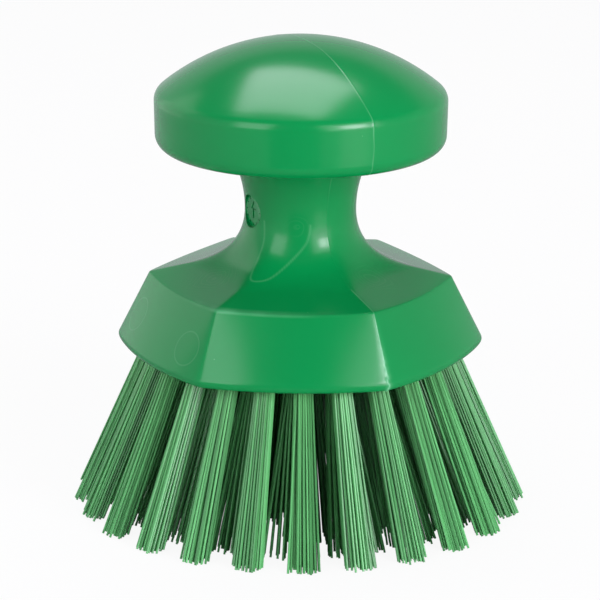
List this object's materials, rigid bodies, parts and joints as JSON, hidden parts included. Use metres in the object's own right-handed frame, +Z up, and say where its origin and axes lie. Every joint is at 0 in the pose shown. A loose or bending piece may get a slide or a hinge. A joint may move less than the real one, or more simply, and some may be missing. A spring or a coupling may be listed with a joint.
{
  "type": "round scrub brush",
  "caption": "Round hand scrubbing brush: a domed palm knob on a waisted neck, a six-sided block and splayed tufts of stiff bristle.",
  "frame": {"origin": "on the brush's axis, in the plane of the bristle tips that it stands on", "axes": "+Z up along the axis through the knob, +X towards a corner of the six-sided block, -Y towards the face that the picture shows in front"},
  "size_m": [0.1096, 0.1098, 0.1133],
  "materials": {
    "block": "moulded satin gloss",
    "bristle": "drawn filament, lightly glossy"
  },
  "bodies": {
    "root": {"brush_block": "block", "tuft_outer_01": "bristle", "tuft_outer_02": "bristle", "tuft_outer_03": "bristle", "tuft_outer_04": "bristle", "tuft_outer_05": "bristle", "tuft_outer_06": "bristle", "tuft_outer_07": "bristle", "tuft_outer_08": "bristle", "tuft_outer_09": "bristle", "tuft_outer_10": "bristle", "tuft_outer_11": "bristle", "tuft_outer_12": "bristle", "tuft_outer_13": "bristle", "tuft_outer_14": "bristle", "tuft_outer_15": "bristle", "tuft_outer_16": "bristle", "tuft_outer_17": "bristle", "tuft_outer_18": "bristle", "tuft_outer_19": "bristle", "tuft_outer_20": "bristle", "tuft_outer_21": "bristle", "tuft_outer_22": "bristle", "tuft_outer_23": "bristle", "tuft_outer_24": "bristle", "tuft_outer_25": "bristle", "tuft_second_01": "bristle", "tuft_second_02": "bristle", "tuft_second_03": "bristle", "tuft_second_04": "bristle", "tuft_second_05": "bristle", "tuft_second_06": "bristle", "tuft_second_07": "bristle", "tuft_second_08": "bristle", "tuft_second_09": "bristle", "tuft_second_10": "bristle", "tuft_second_11": "bristle", "tuft_second_12": "bristle", "tuft_second_13": "bristle", "tuft_second_14": "bristle", "tuft_second_15": "bristle", "tuft_second_16": "bristle", "tuft_second_17": "bristle", "tuft_second_18": "bristle", "tuft_third_01": "bristle", "tuft_third_02": "bristle", "tuft_third_03": "bristle", "tuft_third_04": "bristle", "tuft_third_05": "bristle", "tuft_third_06": "bristle", "tuft_third_07": "bristle", "tuft_third_08": "bristle", "tuft_third_09": "bristle", "tuft_third_10": "bristle", "tuft_third_11": "bristle", "tuft_inner_01": "bristle", "tuft_inner_02": "bristle", "tuft_inner_03": "bristle", "tuft_inner_04": "bristle", "tuft_inner_05": "bristle"}
  },
  "joints": []
}
